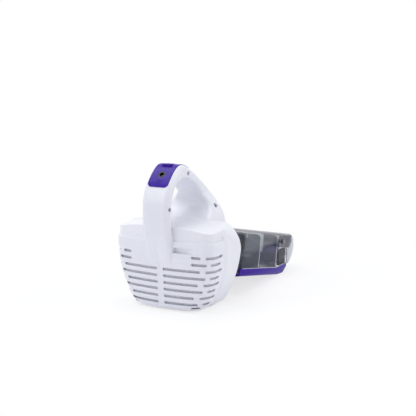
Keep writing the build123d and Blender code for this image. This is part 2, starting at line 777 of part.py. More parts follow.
with BuildPart() as cup_seal:
    seal_from = (SPIGOT_LENGTH - SEAL_WIDTH) / 2
    add(nozzle_prism(seal_from, SEAL_WIDTH, FLARE_LENGTH / 6, CUP_WALL + SPIGOT_GAP - SEAL_PROUD))
    add(nozzle_prism(seal_from, SEAL_WIDTH, FLARE_LENGTH / 6, CUP_WALL + SPIGOT_GAP), mode=Mode.SUBTRACT)
save(cup_seal.part, "cup_seal")

fan_rear = -BULKHEAD - FAN_HOUSING_LENGTH
motor_front = fan_rear + FAN_HOUSING_WALL
motor_rear = motor_front - MOTOR_LENGTH
with BuildPart() as fan_housing:
    add(axial_tube(fan_rear, FAN_HOUSING_LENGTH, FAN_HOUSING_RADIUS, FAN_HOUSING_RADIUS - FAN_HOUSING_WALL))
    add(axial_tube(fan_rear, FAN_HOUSING_WALL, FAN_HOUSING_RADIUS, MOTOR_RADIUS + MOTOR_RING))
    with BuildSketch(nozzle.offset(fan_rear + 2 * FAN_HOUSING_WALL)):
        with PolarLocations((FAN_HOUSING_RADIUS + MOTOR_RADIUS) / 2, FAN_WINDOWS):
            Rectangle(FAN_HOUSING_RADIUS - MOTOR_RADIUS + WALL, FAN_WINDOW)
    extrude(amount=FAN_WINDOW, mode=Mode.SUBTRACT)
save(fan_housing.part, "fan_housing")
save(axial_tube(fan_rear, FAN_HOUSING_WALL, MOTOR_RADIUS + MOTOR_RING, MOTOR_RADIUS), "motor_ring")

with BuildPart() as motor_can:
    add(axial_tube(motor_rear, MOTOR_LENGTH, MOTOR_RADIUS, MOTOR_RADIUS - MOTOR_SKIN))
    add(axial_tube(motor_front - BEARING_LENGTH, BEARING_LENGTH, MOTOR_RADIUS, BEARING_RADIUS))
save(motor_can.part, "motor_can")
save(axial_tube(motor_rear - BELL_LENGTH, BELL_LENGTH, MOTOR_RADIUS, BEARING_RADIUS), "motor_end_bell")

with BuildPart() as motor_bearings:
    add(axial_tube(motor_front - BEARING_LENGTH, BEARING_LENGTH, BEARING_RADIUS, SHAFT_RADIUS + RUNNING_FIT))
    add(axial_tube(motor_rear - BELL_LENGTH, BEARING_LENGTH, BEARING_RADIUS, SHAFT_RADIUS + RUNNING_FIT))
save(motor_bearings.part, "motor_bearings")

fan_front = -BULKHEAD - FAN_GAP
shaft_rear = motor_rear - 1.5 * BELL_LENGTH
save(axial_tube(shaft_rear, fan_front - shaft_rear, SHAFT_RADIUS), "motor_shaft")
rotor_from = (motor_front + motor_rear - BEARING_LENGTH - ROTOR_LENGTH) / 2
save(axial_tube(rotor_from, ROTOR_LENGTH, ROTOR_RADIUS, SHAFT_RADIUS), "rotor_core")

with BuildPart() as fan_impeller:
    disc_from = fan_front - FAN_WIDTH - FAN_DISC
    add(axial_tube(disc_from, FAN_DISC, FAN_RADIUS))
    add(axial_tube(disc_from, FAN_DISC + FAN_WIDTH, FAN_HUB))
    with BuildSketch(nozzle.offset(disc_from)):
        with PolarLocations((FAN_HUB + FAN_RADIUS) / 2, FAN_BLADES):
            with Locations(Location((0, 0), FAN_BLADE_TURN)):
                Rectangle(0.9 * (FAN_RADIUS - FAN_HUB), FAN_DISC)
    extrude(amount=FAN_DISC + FAN_WIDTH)
    add(axial_tube(disc_from, FAN_DISC + FAN_WIDTH, SHAFT_RADIUS), mode=Mode.SUBTRACT)
save(fan_impeller.part, "fan_impeller")

with BuildPart() as exhaust_foam:
    add(body_form(WALL))
    add(body_form(WALL + FOAM), mode=Mode.SUBTRACT)
    split(bisect_by=Plane.YZ.offset(FOAM_SIDE_X), keep=Keep.BOTTOM)
    split(bisect_by=Plane.XY.offset(FOAM_TOP_Z), keep=Keep.BOTTOM)
    with Locations((FOAM_FRONT_X + BODY_HALF_WIDTH, 0, 0)):
        Box(2 * BODY_HALF_WIDTH, 2 * FOAM_SIDE_Y, 4 * BODY_HALF_WIDTH, mode=Mode.SUBTRACT)
save(exhaust_foam.part, "exhaust_foam")

# Filter on the bulkhead
cage_front = FILTER_LENGTH - FILTER_SKIN
with BuildPart() as filter_frame:
    add(axial_tube(0, FILTER_RING_WIDTH / 2, FILTER_RADIUS + FILTER_SKIN, FILTER_RADIUS - FILTER_SKIN))
    add(axial_tube(0, FILTER_RING_WIDTH, FILTER_RADIUS, FILTER_RADIUS - FILTER_SKIN))
    hoop_from = FILTER_LENGTH - FILTER_RING_WIDTH
    add(axial_tube(hoop_from, FILTER_RING_WIDTH, FILTER_RADIUS, FILTER_RADIUS - FILTER_SKIN))
    add(axial_tube(cage_front, FILTER_SKIN, FILTER_RADIUS))
    with BuildSketch(nozzle.offset(0)):
        with PolarLocations(FILTER_RADIUS - FILTER_SKIN / 2, FILTER_BARS):
            Rectangle(FILTER_SKIN * 0.8, FILTER_BAR_WIDTH)
    extrude(amount=cage_front + FILTER_SKIN / 2)
save(filter_frame.part, "filter_frame")

with BuildPart() as filter_ring:
    ring_from = FILTER_LENGTH - FILTER_RING_WIDTH / 3
    ring_radius = FILTER_RADIUS + FILTER_SKIN
    add(axial_tube(ring_from, FILTER_RING_WIDTH, ring_radius, FILTER_RADIUS - FILTER_RING_WIDTH))
    add(axial_tube(0, FILTER_LENGTH, FILTER_RADIUS), mode=Mode.SUBTRACT)
save(filter_ring.part, "filter_ring")


def star(outer, inner):
    points = []
    for i in range(2 * PLEATS):
        angle = math.pi * i / PLEATS
        radius = inner if i % 2 else outer
        points.append((radius * math.cos(angle), radius * math.sin(angle)))
    return points


with BuildPart() as filter_pleats:
    fold = FILTER_RADIUS - 1.5 * FILTER_SKIN
    with BuildSketch(nozzle):
        with BuildLine():
            Polyline(*star(fold, fold - PLEAT_DEPTH), close=True)
        make_face()
        with BuildLine():
            Polyline(*star(fold - FILTER_SKIN, fold - PLEAT_DEPTH - FILTER_SKIN), close=True)
        make_face(mode=Mode.SUBTRACT)
    extrude(amount=cage_front)
save(filter_pleats.part, "filter_pleats")

# Dust cup and the tray below its seam
seam_x, seam_z = along(SEAM_BREAK, -SEAM_DROP)
far_x = 2 * NOZZLE_FRONT_X
tray_side = [along(FLARE_LENGTH, -SEAM_DROP), (seam_x, seam_z), (far_x, seam_z), (far_x, -BODY_HALF_WIDTH)]
tray_side += [along(FLARE_LENGTH, -2 * BODY_HALF_WIDTH)]
tray_zone = side_prism(tray_side, -2 * TUNNEL_HALF_WIDTH, 2 * TUNNEL_HALF_WIDTH)
tunnel_inside = tunnel_form(CUP_WALL, CUP_WALL, NOZZLE_FRONT_X + BRUSH_TIP)

with BuildPart() as front_shell:
    add(flare_form(0))
    add(tunnel_form(0, 0, NOZZLE_FRONT_X))
    add(flare_form(CUP_WALL), mode=Mode.SUBTRACT)
    add(tunnel_inside, mode=Mode.SUBTRACT)
    split(bisect_by=nozzle.offset(CUP_GAP), keep=Keep.TOP)

pin_from = TUNNEL_HALF_WIDTH - CUP_WALL - ARM_GAP
arm_from = TUNNEL_HALF_WIDTH + ARM_GAP
pivot = (VISOR_PIVOT_X, VISOR_PIVOT_Z)
with BuildPart() as dust_cup:
    add(front_shell.part)
    add(nozzle_prism(RIB_FROM, RIB_WIDTH, FLARE_LENGTH, -RIB_PROUD))
    add(nozzle_prism(RIB_FROM - WALL, RIB_WIDTH + 2 * WALL, FLARE_LENGTH, CUP_WALL), mode=Mode.SUBTRACT)
    add(tray_zone, mode=Mode.SUBTRACT)
    tower_y = TOWER_HALF_WIDTH
    add(axial_box(TOWER_FROM, TOWER_LENGTH, -tower_y, tower_y, TOWER_FLOOR - WALL, TOWER_TOP))
    pocket_y = TOWER_HALF_WIDTH - TOWER_WALL
    pocket_u = TOWER_LENGTH - 2 * TOWER_WALL
    pocket_top = 2 * TOWER_TOP
    pocket = axial_box(TOWER_FROM + TOWER_WALL, pocket_u, -pocket_y, pocket_y, TOWER_FLOOR, pocket_top)
    add(pocket, mode=Mode.SUBTRACT)
    add(cross_tube(pivot, -2 * TUNNEL_HALF_WIDTH, 2 * TUNNEL_HALF_WIDTH, PIN_RADIUS), mode=Mode.SUBTRACT)
save(dust_cup.part, "dust_cup")

with BuildPart() as cup_base:
    add(front_shell.part)
    add(tray_zone, mode=Mode.INTERSECT)
    mouth = [(MOUTH_LIP_X, -WALL), (far_x, -WALL), (far_x, seam_z - WALL), (MOUTH_LIP_X, seam_z - WALL)]
    add(side_prism(mouth, -RAIL_INNER, RAIL_INNER), mode=Mode.SUBTRACT)
    upturn = [(RAIL_UPTURN[0], 0), (far_x, 0), (NOZZLE_FRONT_X + WALL, RAIL_UPTURN[1])]
    add(side_prism(upturn, -2 * TUNNEL_HALF_WIDTH, 2 * TUNNEL_HALF_WIDTH), mode=Mode.SUBTRACT)
save(cup_base.part, "cup_base")

button_y = pocket_y - SLIDE_CLEARANCE
button_from = TOWER_FROM + TOWER_WALL + SLIDE_CLEARANCE
with BuildPart() as latch_button:
    add(axial_box(button_from, pocket_u - 2 * SLIDE_CLEARANCE, -button_y, button_y, BUTTON_FOOT, BUTTON_TOP))
    up = Axis((0, 0, 0), (sin_tilt, 0, cos_tilt))
    fillet(latch_button.faces().sort_by(up)[-1].edges(), BUTTON_ROUND)
save(latch_button.part, "latch_button")

with BuildPart() as latch_spring:
    spring_x, spring_z = along(TOWER_FROM + TOWER_LENGTH / 2, TOWER_FLOOR)
    with BuildSketch(Plane(origin=(spring_x, 0, spring_z), x_dir=(0, 1, 0), z_dir=(sin_tilt, 0, cos_tilt))):
        Circle(SPRING_RADIUS)
        Circle(SPRING_RADIUS - SPRING_WALL, mode=Mode.SUBTRACT)
    extrude(amount=BUTTON_FOOT - TOWER_FLOOR)
save(latch_spring.part, "latch_spring")

# Air path from the brush to the cup, with its flap
flap_station = DUCT_REAR - FLAP_SET_BACK
hinge = along(flap_station, FLAP_HINGE_HEIGHT)
channel_top = TUNNEL_HALF_HEIGHT - CUP_WALL - DUCT_BACK_GAP
channel_in = DUCT_HALF_WIDTH - DUCT_WALL
duct_low = DUCT_FLOOR + DUCT_WALL
ear_low = FLAP_HINGE_HEIGHT - FLAP_EAR
ear_high = FLAP_HINGE_HEIGHT + FLAP_EAR
flap_half = DUCT_HALF_WIDTH - SLIDE_CLEARANCE
with BuildPart() as inlet_duct:
    add(nozzle_prism(DUCT_REAR, DUCT_WALL, FLARE_LENGTH, CUP_WALL))
    add(nozzle_prism(DUCT_FRONT, DUCT_WALL, FLARE_LENGTH, CUP_WALL))
    run = DUCT_FRONT - DUCT_REAR
    add(axial_box(DUCT_REAR, run, -DUCT_HALF_WIDTH, DUCT_HALF_WIDTH, DUCT_FLOOR, channel_top))
    channel = axial_box(DUCT_REAR + DUCT_WALL, 2 * run, -channel_in, channel_in, duct_low, 2 * channel_top)
    add(channel, mode=Mode.SUBTRACT)
    add(axial_box(0, DUCT_FRONT, -channel_in, channel_in, duct_low, WINDOW_TOP), mode=Mode.SUBTRACT)
    for side in (-1, 1):
        near, far = sorted((side * DUCT_HALF_WIDTH, side * (DUCT_HALF_WIDTH + FLAP_EAR)))
        add(axial_box(flap_station - FLAP_EAR, FLAP_SET_BACK + FLAP_EAR, near, far, ear_low, ear_high))
    add(cross_tube(hinge, -TUNNEL_HALF_WIDTH, TUNNEL_HALF_WIDTH, FLAP_PIN_RADIUS), mode=Mode.SUBTRACT)
    slot_near, slot_far, slot_low, slot_high = BELT_SLOT
    slot_side = [(BRUSH_X, slot_low), (BRUSH_X, slot_high), (DRIVE_X, slot_high), (DRIVE_X, slot_low)]
    add(side_prism(slot_side, slot_near, slot_far), mode=Mode.SUBTRACT)
save(inlet_duct.part, "inlet_duct")

with BuildPart() as inlet_flap:
    add(cross_tube(hinge, -flap_half, flap_half, FLAP_KNUCKLE))
    plate_from = DUCT_REAR - DUCT_BACK_GAP - FLAP_THICKNESS
    plate_low = DUCT_FLOOR - DUCT_WALL
    add(axial_box(plate_from, FLAP_THICKNESS, -flap_half, flap_half, plate_low, FLAP_HINGE_HEIGHT))
    add(cross_tube(hinge, -flap_half, flap_half, FLAP_PIN_RADIUS + RUNNING_FIT), mode=Mode.SUBTRACT)
save(inlet_flap.part, "inlet_flap")
pin_end = DUCT_HALF_WIDTH + FLAP_EAR
save(cross_tube(hinge, -pin_end, pin_end, FLAP_PIN_RADIUS), "flap_pin")

# Brush roll
brush_axis = (BRUSH_X, BRUSH_Z)
drive_axis = (DRIVE_X, DRIVE_Z)
pulley_end = BRUSH_HALF_LENGTH + 2 * FLANGE + PULLEY_WIDTH - SLIDE_CLEARANCE
axle_end = TUNNEL_HALF_WIDTH - CUP_WALL - RUNNING_FIT
save(cross_tube(brush_axis, -axle_end, axle_end, AXLE_RADIUS), "brush_axle")
save(cross_tube(brush_axis, -BRUSH_HALF_LENGTH, BRUSH_HALF_LENGTH, BRUSH_CORE, AXLE_RADIUS), "brush_core")
cap_end = BRUSH_HALF_LENGTH + END_CAP_LENGTH
save(cross_tube(brush_axis, -cap_end, -BRUSH_HALF_LENGTH, END_CAP_RADIUS, AXLE_RADIUS), "brush_end_cap")


def pulley(center, radius, bore):
    """A small pulley with a flange on each side of the belt."""
    with BuildPart() as form:
        add(cross_tube(center, BRUSH_HALF_LENGTH, pulley_end, radius, bore))
        add(cross_tube(center, BRUSH_HALF_LENGTH, BRUSH_HALF_LENGTH + FLANGE, radius + FLANGE_PROUD, bore))
        add(cross_tube(center, pulley_end - FLANGE, pulley_end, radius + FLANGE_PROUD, bore))
    return form.part


save(pulley(brush_axis, BRUSH_PULLEY, AXLE_RADIUS), "brush_pulley")
save(pulley(drive_axis, DRIVE_PULLEY, DRIVE_SHAFT), "motor_pulley")
save(cross_tube(drive_axis, DRIVE_HALF_LENGTH / 3, pulley_end, DRIVE_SHAFT), "brush_motor_shaft")

with BuildPart() as brush_bristles:
    add(cross_tube(brush_axis, -BRUSH_HALF_LENGTH, BRUSH_HALF_LENGTH, BRUSH_CORE + BRUSH_SLEEVE, BRUSH_CORE))
    strand_low = BRUSH_CORE + BRUSH_SLEEVE / 2
    strand_span = 2 * BRUSH_HALF_LENGTH - 2 * WALL
    strands = []
    for row in range(BRUSH_ROWS):
        for i in range(BRUSH_STRANDS):
            share = i / (BRUSH_STRANDS - 1) - 0.5
            turn = 360 * row / BRUSH_ROWS + BRUSH_TWIST * share
            place = Location((BRUSH_X, share * strand_span, BRUSH_Z), (0, turn, 0))
            strands.append(place * Location((0, 0, (strand_low + BRUSH_TIP) / 2)))
    with Locations(*strands):
        Box(STRAND_WIDTH, STRAND_WIDTH, BRUSH_TIP - strand_low)
save(brush_bristles.part, "brush_bristles")

# Blocks that carry the axle, and the belt drive
for name, side in (("right", -1), ("left", 1)):
    with BuildPart() as block:
        with Locations(((BRUSH_X - BLOCK_WIDTH / 4), side * (TUNNEL_HALF_WIDTH - CUP_WALL), BRUSH_Z)):
            Box(BLOCK_WIDTH + WALL, 2 * BLOCK_LENGTH, 2 * BLOCK_TOP)
        add(tunnel_inside, mode=Mode.INTERSECT)
        split(bisect_by=Plane.XY.offset(seam_z), keep=Keep.TOP)
        split(bisect_by=Plane.YZ.offset(NOZZLE_FRONT_X), keep=Keep.BOTTOM)
        reach = 2 * TUNNEL_HALF_WIDTH
        add(cross_tube(brush_axis, -reach, reach, AXLE_RADIUS + RUNNING_FIT), mode=Mode.SUBTRACT)
    save(block.part, "brush_bearing_" + name)


def belt_loop(grow):
    with BuildPart() as form:
        with BuildSketch(Plane.XZ.offset(-(BRUSH_HALF_LENGTH + pulley_end + BELT_WIDTH) / 2)):
            with Locations(brush_axis):
                Circle(BRUSH_PULLEY + grow)
            with Locations(drive_axis):
                Circle(DRIVE_PULLEY + grow)
            make_hull()
        extrude(amount=BELT_WIDTH)
    return form.part


with BuildPart() as drive_belt:
    add(belt_loop(RUNNING_FIT + BELT_THICKNESS))
    add(belt_loop(RUNNING_FIT), mode=Mode.SUBTRACT)
save(drive_belt.part, "drive_belt")

with BuildPart() as brush_motor:
    add(cross_tube(drive_axis, -DRIVE_HALF_LENGTH, DRIVE_HALF_LENGTH, DRIVE_RADIUS))
    shaft_hole = DRIVE_SHAFT + RUNNING_FIT
    add(cross_tube(drive_axis, DRIVE_HALF_LENGTH / 3, DRIVE_HALF_LENGTH, shaft_hole), mode=Mode.SUBTRACT)
save(brush_motor.part, "brush_motor")

with BuildPart() as brush_motor_cradle:
    with Locations((DRIVE_X, 0, DRIVE_Z / 2)):
        Box(1.6 * DRIVE_RADIUS, DRIVE_HALF_LENGTH, DRIVE_Z)
    add(tunnel_inside, mode=Mode.INTERSECT)
    add(cross_tube(drive_axis, -DRIVE_HALF_LENGTH, DRIVE_HALF_LENGTH, DRIVE_RADIUS), mode=Mode.SUBTRACT)
save(brush_motor_cradle.part, "brush_motor_cradle")

# Flip-up visor
visor_curve = [(VISOR_REAR_X, VISOR_TOP_Z)] + CHEEK_OUTLINE
hood_curve = drawn_in(visor_curve, VISOR_SKIN)
cheek_from = TUNNEL_HALF_WIDTH - CHEEK
with BuildPart() as visor_hood:
    with BuildSketch(Plane.XZ):
        with BuildLine():
            Spline(*visor_curve)
            Line(visor_curve[-1], hood_curve[-1])
            Spline(*hood_curve)
            Line(hood_curve[0], visor_curve[0])
        make_face()
    extrude(amount=cheek_from, both=True)
    split(bisect_by=Plane.XY.offset(HOOD_LOW_Z), keep=Keep.TOP)
save(visor_hood.part, "visor_hood")

for name, side in (("right", -1), ("left", 1)):
    with BuildPart() as cheek:
        with BuildSketch(Plane.XZ.offset(-side * cheek_from)):
            with BuildLine():
                Spline(*visor_curve)
                Line(visor_curve[-1], visor_curve[0])
            make_face()
        extrude(amount=-side * CHEEK)
    save(cheek.part, "visor_cheek_" + name)
    with BuildPart() as arm:
        with BuildSketch(Plane.XZ.offset(-side * arm_from)) as arm_side:
            with BuildLine():
                Polyline(*ARM_OUTLINE, close=True)
            make_face()
            fillet(arm_side.vertices(), ARM_ROUND)
            with Locations(pivot):
                Circle(PIN_RADIUS + RUNNING_FIT, mode=Mode.SUBTRACT)
        extrude(amount=-side * ARM)
        with BuildSketch(Plane.XZ.offset(-side * TUNNEL_HALF_WIDTH)):
            with Locations((PAD_X, PAD_Z)):
                Circle(PAD_RADIUS)
        extrude(amount=-side * (ARM_GAP + ARM / 2))
    save(arm.part, "visor_arm_" + name)

with BuildPart() as visor_pins:
    head_from = arm_from + ARM + SLIDE_CLEARANCE
    for side in (-1, 1):
        low, high = sorted((side * pin_from, side * (head_from + PIN_HEAD)))
        add(cross_tube(pivot, low, high, PIN_RADIUS))
        low, high = sorted((side * head_from, side * (head_from + PIN_HEAD)))
        add(cross_tube(pivot, low, high, PIN_HEAD_RADIUS))
save(visor_pins.part, "visor_pins")
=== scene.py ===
import json
import math
import random

import bpy
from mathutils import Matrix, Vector
from mathutils.bvhtree import BVHTree


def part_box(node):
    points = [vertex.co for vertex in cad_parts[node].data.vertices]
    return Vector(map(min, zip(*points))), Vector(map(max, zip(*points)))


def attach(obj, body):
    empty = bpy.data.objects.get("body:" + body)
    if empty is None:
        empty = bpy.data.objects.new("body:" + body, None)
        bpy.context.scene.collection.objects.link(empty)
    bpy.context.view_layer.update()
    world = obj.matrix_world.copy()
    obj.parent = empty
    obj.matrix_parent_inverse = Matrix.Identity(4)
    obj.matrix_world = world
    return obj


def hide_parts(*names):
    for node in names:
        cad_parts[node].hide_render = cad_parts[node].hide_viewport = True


# A cordless hand vacuum with a powered brush. Metres, in the frame's axes: +X to the brush, +Y left, +Z up.
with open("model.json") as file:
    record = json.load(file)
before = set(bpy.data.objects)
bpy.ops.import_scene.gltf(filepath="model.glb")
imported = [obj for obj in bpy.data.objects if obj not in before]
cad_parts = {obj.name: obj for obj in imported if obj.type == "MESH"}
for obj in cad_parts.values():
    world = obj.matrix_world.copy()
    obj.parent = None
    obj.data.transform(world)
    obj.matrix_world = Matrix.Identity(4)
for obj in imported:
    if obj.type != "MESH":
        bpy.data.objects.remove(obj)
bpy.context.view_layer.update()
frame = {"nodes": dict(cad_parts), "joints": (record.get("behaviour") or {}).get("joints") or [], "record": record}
nodes = frame["nodes"]
joints = {joint["name"]: joint for joint in frame["joints"]}
mounts = {mount["name"]: mount for mount in frame["record"]["mounts"]}
chance = random.Random(7)

MM = 0.001

# Camera, fitted to the photograph
CAMERA_PLACE = Vector((-1.0487, -0.6042, 0.3465))
CAMERA_LOOK = Vector((0.8695, 0.4623, -0.1737))
CAMERA_LENS = 77.88
CAMERA_SENSOR = 36
CAMERA_NEAR = 0.01

# Floor: how much of its own light it keeps near the object, and where that starts to fade and ends
FLOOR_REACH = 12.0
FLOOR_SHADOW = 0.28
SHADOW_FADES = 0.2
SHADOW_ENDS = 0.6

# Light: each lamp's name, place, size and power
SKY_STRENGTH = 0.55
LAMP_TARGET = Vector((0.05, 0, 0.08))
LAMPS = (
    ("top", (-0.1, 0.3, 1.6), 1.5, 15),
    ("left", (-1.3, 0.9, 0.9), 0.9, 4),
    ("right", (0.6, -1.5, 0.9), 1.0, 7),
)

# Shading of the solids: edges that stay sharp, edges that are rounded, and corners that are joined
SHARP_ABOVE = math.radians(32)
ROUND_ABOVE = math.radians(50)
ROUND_SEGMENTS = 2
JOIN_WITHIN = 0.002 * MM

# Most of a noise texture's values lie in this range
NOISE_LOW = 0.3
NOISE_HIGH = 0.7

# Sockets of a colour mix, whose names the other kinds of mix share
MIX_FIRST = 6
MIX_SECOND = 7
MIX_RESULT = 2

# The tilted axis that the cup, the filter and the fan share
nozzle_axis = Vector(joints["cup_release"]["axis"])
nozzle_up = Vector((-nozzle_axis.z, 0, nozzle_axis.x))
nozzle_origin = Vector(joints["fan_spin"]["pos_m"])

# A face whose normal meets the axis with a lower cosine looks to the rear
LOOKS_BACK = -0.7

# The charging socket's place and the way that it faces
socket_place = Vector(mounts["charge_socket"]["pos_m"])
socket_out = Vector(mounts["charge_socket"]["axis"])


def linear(red, green, blue):
    """A colour as seen on a screen, 0 to 255, in the linear values that shaders take, by the sRGB curve."""
    def channel(value):
        share = value / 255
        return share / 12.92 if share <= 0.04045 else ((share + 0.055) / 1.055) ** 2.4
    return (channel(red), channel(green), channel(blue), 1)


def shade(colour, share):
    """The same colour with less light."""
    return tuple(channel * share for channel in colour[:3]) + (1,)


# Materials

def socket_name(word):
    """A socket's name from a keyword."""
    return word.replace("_", " ").title().replace("Ior", "IOR")


class Shader:
    """A material with its principled shader and short ways to add the nodes used here."""

    def __init__(self, name, **values):
        self.material = bpy.data.materials.new(name)
        self.material.use_nodes = True
        self.tree = self.material.node_tree
        self.shader = self.tree.nodes["Principled BSDF"]
        for socket, value in values.items():
            self.shader.inputs[socket_name(socket)].default_value = value
        self.place = self.tree.nodes.new("ShaderNodeTexCoord").outputs["Object"]

    def node(self, kind, **inputs):
        """A new node with its inputs set, or linked where another node's output is given."""
        made = self.tree.nodes.new("ShaderNode" + kind)
        for socket, value in inputs.items():
            target = made.inputs[socket_name(socket)]
            if isinstance(value, bpy.types.NodeSocket):
                self.tree.links.new(value, target)
            else:
                target.default_value = value
        return made

    def noise(self, size, detail=3, vector=None):
        """Noise whose lumps are about this size, in metres."""
        made = self.node("TexNoise", vector=vector or self.place, scale=1 / size, detail=detail)
        return made.outputs["Fac"]

    def span(self, factor, low, high):
        """A noise stretched to run from low to high."""
        made = self.node(
            "MapRange", value=factor, from_min=NOISE_LOW, from_max=NOISE_HIGH, to_min=low, to_max=high
        )
        return made.outputs["Result"]

    def tint(self, factor, low, high):
        """Two colours mixed by a noise."""
        made = self.node("Mix")
        made.data_type = "RGBA"
        self.tree.links.new(self.span(factor, 0, 1), made.inputs["Factor"])
        made.inputs[MIX_FIRST].default_value = low
        made.inputs[MIX_SECOND].default_value = high
        return made.outputs[MIX_RESULT]

    def feed(self, socket, output):
        """Drives one input of the principled shader."""
        self.tree.links.new(output, self.shader.inputs[socket])

    def uneven_roughness(self, factor, roughness, least, most):
        """Roughness that a noise moves between two shares of its usual value."""
        self.feed("Roughness", self.span(factor, roughness * least, roughness * most))

    def bump(self, height, strength, distance):
        """A fine relief from a noise."""
        made = self.node("Bump", height=height, strength=strength, distance=distance)
        self.feed("Normal", made.outputs["Normal"])


def moulded(name, colour, roughness, gloss=0.5):
    """Moulded plastic: a faint cloudiness in its colour, uneven gloss and a very fine skin."""
    made = Shader(name, specular_ior_level=gloss)
    clouds = made.noise(30 * MM)
    patches = made.noise(6 * MM, detail=4)
    skin = made.noise(0.5 * MM, detail=2)
    made.feed("Base Color", made.tint(clouds, shade(colour, share=0.97), colour))
    made.uneven_roughness(patches, roughness, least=0.85, most=1.2)
    made.bump(skin, strength=0.03, distance=0.05 * MM)
    return made.material


def even_plastic(name, colour, second, roughness):
    """Smooth plastic with one gloss, and a broad, faint drift in its colour."""
    made = Shader(name, roughness=roughness)
    drift = made.noise(60 * MM, detail=0)
    made.feed("Base Color", made.tint(drift, second, colour))
    return made.material


def clear(name, colour, roughness, face_on, edge_on, gloss=0.6):
    """See-through plastic that looks denser where it is seen at a slant."""
    made = Shader(name, base_color=colour, specular_ior_level=gloss)
    slant = made.node("LayerWeight", blend=0.35).outputs["Facing"]
    density = made.node("MapRange", value=slant, to_min=face_on, to_max=edge_on)
    patches = made.noise(9 * MM, detail=4)
    waves = made.noise(14 * MM, detail=2)
    made.feed("Alpha", density.outputs["Result"])
    made.uneven_roughness(patches, roughness, least=0.7, most=1.4)
    made.bump(waves, strength=0.05, distance=0.4 * MM)
    return made.material


def turned_metal(name, colour, roughness):
    """Metal with fine turning marks and a little tarnish."""
    made = Shader(name, metallic=1.0)
    drawn_out = made.node("Mapping", vector=made.place, scale=(1, 0.05, 1)).outputs["Vector"]
    marks = made.noise(0.6 * MM, detail=2, vector=drawn_out)
    tarnish = made.noise(6 * MM)
    made.feed("Base Color", made.tint(tarnish, shade(colour, share=0.85), colour))
    made.uneven_roughness(marks, roughness, least=0.7, most=1.3)
    made.bump(marks, strength=0.15, distance=0.05 * MM)
    return made.material


def soft(name, low, high, pore, depth):
    """Cloth, foam or rubber: two tones broken up at the size of its pores."""
    made = Shader(name, roughness=0.9, sheen_weight=0.25)
    pores = made.noise(pore, detail=4)
    made.feed("Base Color", made.tint(pores, low, high))
    made.bump(pores, strength=0.8, distance=depth)
    return made.material


white = even_plastic("white_plastic", linear(235, 236, 242), linear(232, 233, 240), roughness=0.3)
violet = moulded("violet_plastic", linear(56, 14, 150), roughness=0.32, gloss=0.14)
violet_dark = moulded("violet_dark_plastic", linear(52, 10, 150), roughness=0.22, gloss=0.22)
black = moulded("black_plastic", linear(30, 30, 34), roughness=0.4)
charcoal = moulded("charcoal_plastic", linear(40, 45, 56), roughness=0.4, gloss=0.15)
grey = moulded("grey_plastic", linear(112, 112, 120), roughness=0.42)
pale_grey = moulded("pale_grey_plastic", linear(176, 178, 186), roughness=0.35)
brown_grey = moulded("brown_grey_plastic", linear(104, 98, 106), roughness=0.4)
sleeve_green = moulded("battery_sleeve", linear(60, 120, 108), roughness=0.25)
board_green = moulded("circuit_board", linear(30, 84, 48), roughness=0.35)
nylon = moulded("bristle_nylon", linear(92, 52, 178), roughness=0.35)
copper = turned_metal("copper_winding", linear(190, 110, 70), roughness=0.35)
steel = turned_metal("steel", linear(178, 180, 186), roughness=0.28)
rubber = soft("rubber", linear(24, 24, 26), linear(38, 38, 42), pore=1.2 * MM, depth=0.05 * MM)
foam = soft("foam", linear(186, 186, 194), linear(222, 222, 230), pore=1.6 * MM, depth=0.6 * MM)
cloth = soft("filter_cloth", linear(92, 96, 108), linear(128, 132, 144), pore=0.8 * MM, depth=0.1 * MM)
smoked = clear("smoked_plastic", linear(84, 96, 112), roughness=0.07, face_on=0.05, edge_on=0.17)
duct_clear = clear("duct_plastic", linear(236, 244, 248), roughness=0.1, face_on=0.4, edge_on=0.65)
duct_dark = clear(
    "duct_back_plastic", linear(22, 28, 50), roughness=0.12, face_on=0.55, edge_on=0.7, gloss=0.08
)
visor_clear = clear("visor_plastic", linear(120, 124, 140), roughness=0.1, face_on=0.3, edge_on=0.6)
bead_clear = clear("bead_plastic", linear(170, 174, 190), roughness=0.15, face_on=0.7, edge_on=0.85)
arm_clear = clear("arm_plastic", linear(56, 61, 76), roughness=0.08, face_on=0.5, edge_on=0.7)
cheek_clear = clear("cheek_plastic", linear(206, 208, 220), roughness=0.12, face_on=0.5, edge_on=0.8)

NODE_MATERIALS = {
    "housing_right": white, "housing_left": white, "handle_trim": violet_dark, "charge_socket": black,
    "power_slider": violet, "base_foot": rubber, "switch_block": black, "battery_cells": sleeve_green,
    "battery_tray": black, "circuit_board": board_green, "bulkhead": grey, "cup_seal": rubber,
    "fan_housing": grey, "motor_ring": rubber, "motor_can": steel, "motor_end_bell": black,
    "motor_bearings": steel, "motor_shaft": steel, "rotor_core": copper, "fan_impeller": pale_grey,
    "filter_frame": charcoal, "filter_ring": violet, "dust_cup": smoked, "cup_base": violet,
    "latch_button": violet, "latch_spring": steel, "inlet_duct": duct_clear, "inlet_flap": rubber,
    "flap_pin": steel, "brush_axle": steel, "brush_core": violet, "brush_end_cap": brown_grey,
    "brush_pulley": black, "motor_pulley": black, "brush_motor_shaft": steel,
    "brush_bearing_right": charcoal, "brush_bearing_left": charcoal, "drive_belt": rubber,
    "brush_motor": steel, "brush_motor_cradle": grey,
    "visor_hood": visor_clear, "visor_cheek_right": cheek_clear, "visor_cheek_left": cheek_clear,
    "visor_arm_right": arm_clear, "visor_arm_left": arm_clear, "visor_pins": brown_grey,
}


# Shading of the carried-over solids: joined corners, a small round on their edges, smooth faces

